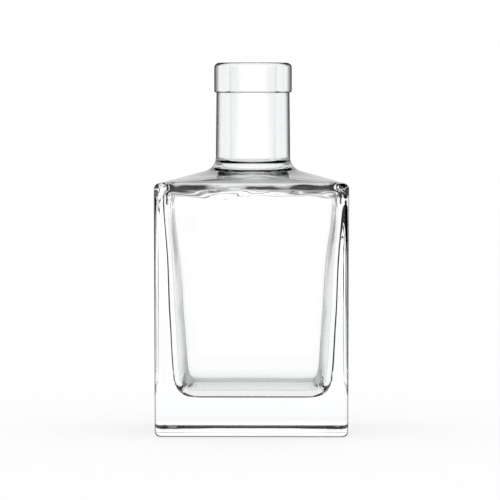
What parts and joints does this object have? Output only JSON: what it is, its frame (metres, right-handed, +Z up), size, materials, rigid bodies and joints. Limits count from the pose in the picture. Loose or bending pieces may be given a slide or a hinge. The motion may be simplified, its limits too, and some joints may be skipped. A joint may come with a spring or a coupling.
{
  "type": "square glass bottle",
  "caption": "Square clear-glass bottle with a thick foot, low shoulder, round neck and plain collar, open for a push-in stopper.",
  "frame": {"origin": "middle of the foot, on the surface that the bottle stands on", "axes": "+Z up along the neck's axis; +X and +Y square to two of the four flat sides"},
  "size_m": [0.0764, 0.0764, 0.1468],
  "materials": {
    "glass": "clear fire-polished flint glass, smooth outside and gently wavy inside"
  },
  "bodies": {
    "root": {"glass_bottle": "glass"}
  },
  "joints": []
}
